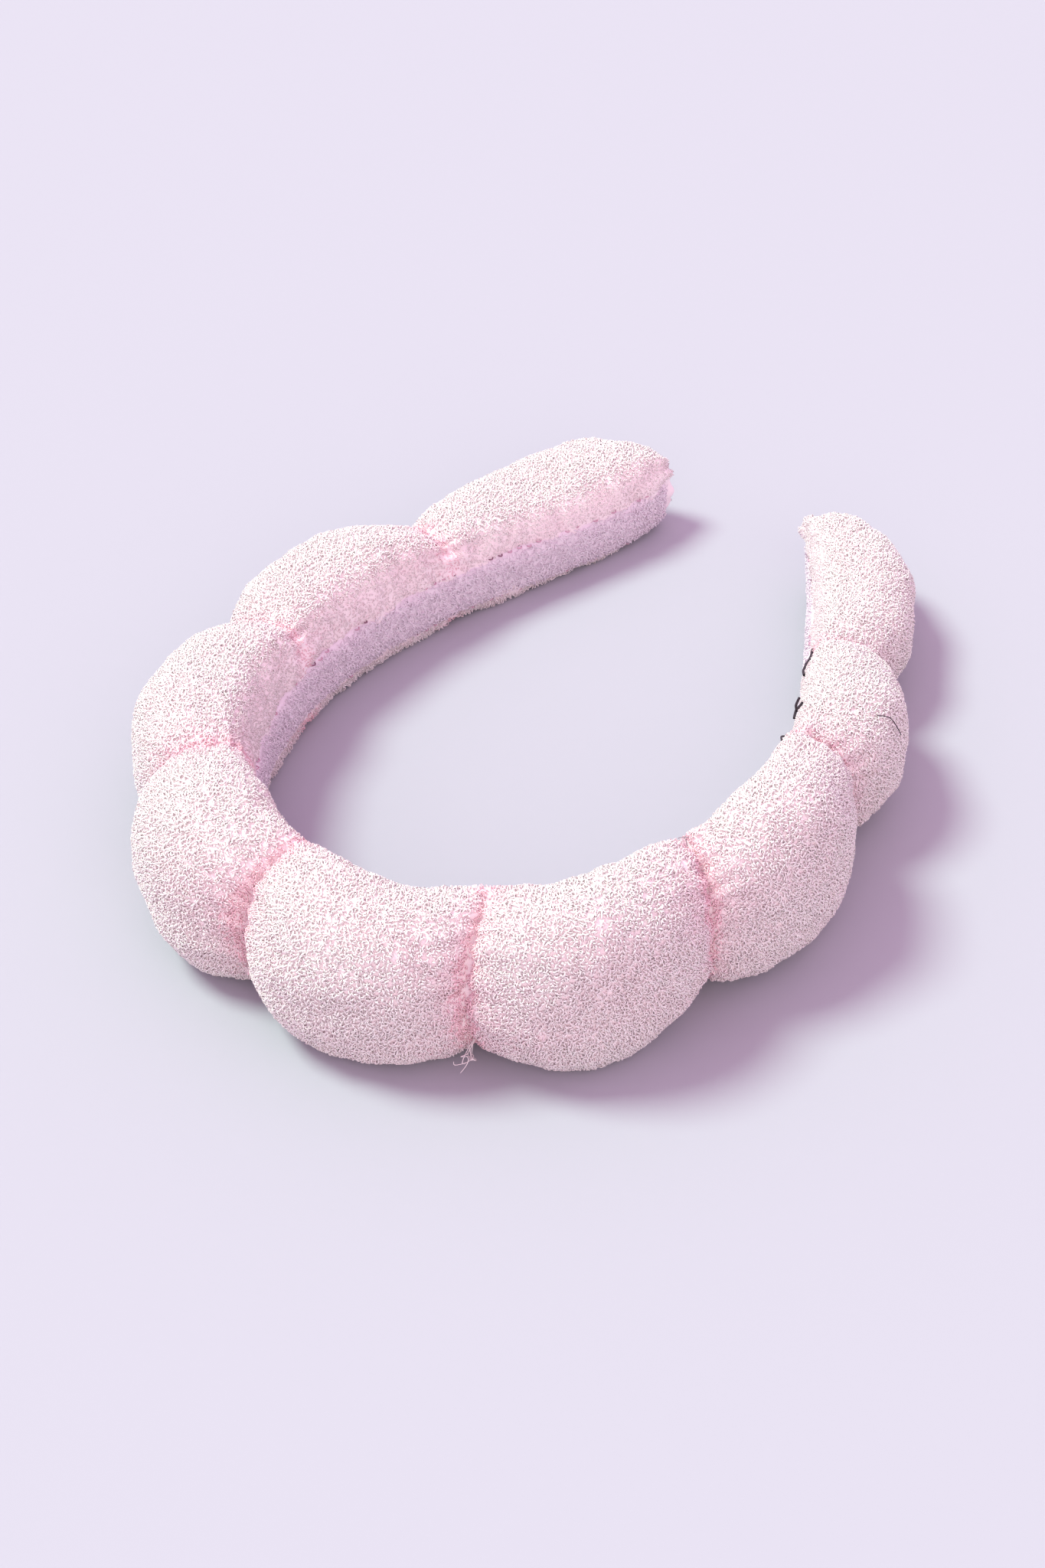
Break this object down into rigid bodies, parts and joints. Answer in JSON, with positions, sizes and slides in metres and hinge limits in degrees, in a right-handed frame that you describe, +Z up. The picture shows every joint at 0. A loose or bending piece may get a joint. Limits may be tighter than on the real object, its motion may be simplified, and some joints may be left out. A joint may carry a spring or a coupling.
{
  "type": "spa headband",
  "caption": "Puffy terry spa headband: a springy open hoop padded with cinched foam puffs, worn to hold hair off the face.",
  "frame": {"origin": "Middle of the plan outline, on the surface that the headband lies on.", "axes": "+Z up out of the surface it lies on, along the width of the band; +Y from the crown towards the open ends; +X to the right arm."},
  "size_m": [0.1504, 0.1902, 0.0405],
  "materials": {
    "terry_cover": "looped terry pile, pale pink",
    "terry_lining": "short terry pile, pale pink",
    "foam": "matte upholstery sponge",
    "springy_plastic": "translucent moulded strip",
    "cinch_thread": "twisted sewing thread, pink"
  },
  "bodies": {
    "left_end": {"cover_left_end": "terry_cover", "foam_pad_left_end": "foam", "hoop_left_end": "springy_plastic", "lining_left_end": "terry_lining"},
    "left_outer": {"cover_left_outer": "terry_cover", "foam_pad_left_outer": "foam", "hoop_left_outer": "springy_plastic", "lining_left_outer": "terry_lining", "cinch_thread_left_end": "cinch_thread"},
    "left_middle": {"cover_left_middle": "terry_cover", "foam_pad_left_middle": "foam", "hoop_left_middle": "springy_plastic", "lining_left_middle": "terry_lining", "cinch_thread_left_outer": "cinch_thread"},
    "left_inner": {"cover_left_inner": "terry_cover", "foam_pad_left_inner": "foam", "hoop_left_inner": "springy_plastic", "lining_left_inner": "terry_lining", "cinch_thread_left_middle": "cinch_thread"},
    "crown": {"cover_crown": "terry_cover", "foam_pad_crown": "foam", "hoop_crown": "springy_plastic", "lining_crown": "terry_lining", "cinch_thread_left_inner": "cinch_thread", "cinch_thread_right_inner": "cinch_thread"},
    "right_inner": {"cover_right_inner": "terry_cover", "foam_pad_right_inner": "foam", "hoop_right_inner": "springy_plastic", "lining_right_inner": "terry_lining", "cinch_thread_right_middle": "cinch_thread"},
    "right_middle": {"cover_right_middle": "terry_cover", "foam_pad_right_middle": "foam", "hoop_right_middle": "springy_plastic", "lining_right_middle": "terry_lining", "cinch_thread_right_outer": "cinch_thread"},
    "right_outer": {"cover_right_outer": "terry_cover", "foam_pad_right_outer": "foam", "hoop_right_outer": "springy_plastic", "lining_right_outer": "terry_lining", "cinch_thread_right_end": "cinch_thread"},
    "right_end": {"cover_right_end": "terry_cover", "foam_pad_right_end": "foam", "hoop_right_end": "springy_plastic", "lining_right_end": "terry_lining"}
  },
  "joints": [
    {"name": "left_inner_bend", "type": "hinge", "parent": "crown", "child": "left_inner", "pos_m": [-0.01151, -0.06947, 0.014], "axis": [0, 0, 1], "range_deg": [-2.5, 10], "stiffness_Nm_per_rad": 0.9},
    {"name": "left_middle_bend", "type": "hinge", "parent": "left_inner", "child": "left_middle", "pos_m": [-0.03882, -0.05056, 0.014], "axis": [0, 0, 1], "range_deg": [-2, 8], "stiffness_Nm_per_rad": 0.8},
    {"name": "left_outer_bend", "type": "hinge", "parent": "left_middle", "child": "left_outer", "pos_m": [-0.05317, -0.00942, 0.014], "axis": [0, 0, 1], "range_deg": [-1.5, 6], "stiffness_Nm_per_rad": 0.7},
    {"name": "left_end_bend", "type": "hinge", "parent": "left_outer", "child": "left_end", "pos_m": [-0.04388, 0.03702, 0.014], "axis": [0, 0, 1], "range_deg": [-0.88, 3.5], "stiffness_Nm_per_rad": 0.5},
    {"name": "right_inner_bend", "type": "hinge", "parent": "crown", "child": "right_inner", "pos_m": [0.02368, -0.06721, 0.014], "axis": [0, 0, -1], "range_deg": [-2.5, 10], "stiffness_Nm_per_rad": 0.9},
    {"name": "right_middle_bend", "type": "hinge", "parent": "right_inner", "child": "right_middle", "pos_m": [0.05052, -0.04002, 0.014], "axis": [0, 0, -1], "range_deg": [-2, 8], "stiffness_Nm_per_rad": 0.8},
    {"name": "right_outer_bend", "type": "hinge", "parent": "right_middle", "child": "right_outer", "pos_m": [0.05534, 0.00424, 0.014], "axis": [0, 0, -1], "range_deg": [-1.5, 6], "stiffness_Nm_per_rad": 0.7},
    {"name": "right_end_bend", "type": "hinge", "parent": "right_outer", "child": "right_end", "pos_m": [0.04363, 0.04206, 0.014], "axis": [0, 0, -1], "range_deg": [-0.88, 3.5], "stiffness_Nm_per_rad": 0.5}
  ],
  "couplings": [
    {"joint": "left_middle_bend", "follows": "left_inner_bend", "ratio": 0.8},
    {"joint": "left_outer_bend", "follows": "left_inner_bend", "ratio": 0.6},
    {"joint": "left_end_bend", "follows": "left_inner_bend", "ratio": 0.35},
    {"joint": "right_middle_bend", "follows": "right_inner_bend", "ratio": 0.8},
    {"joint": "right_outer_bend", "follows": "right_inner_bend", "ratio": 0.6},
    {"joint": "right_end_bend", "follows": "right_inner_bend", "ratio": 0.35}
  ]
}
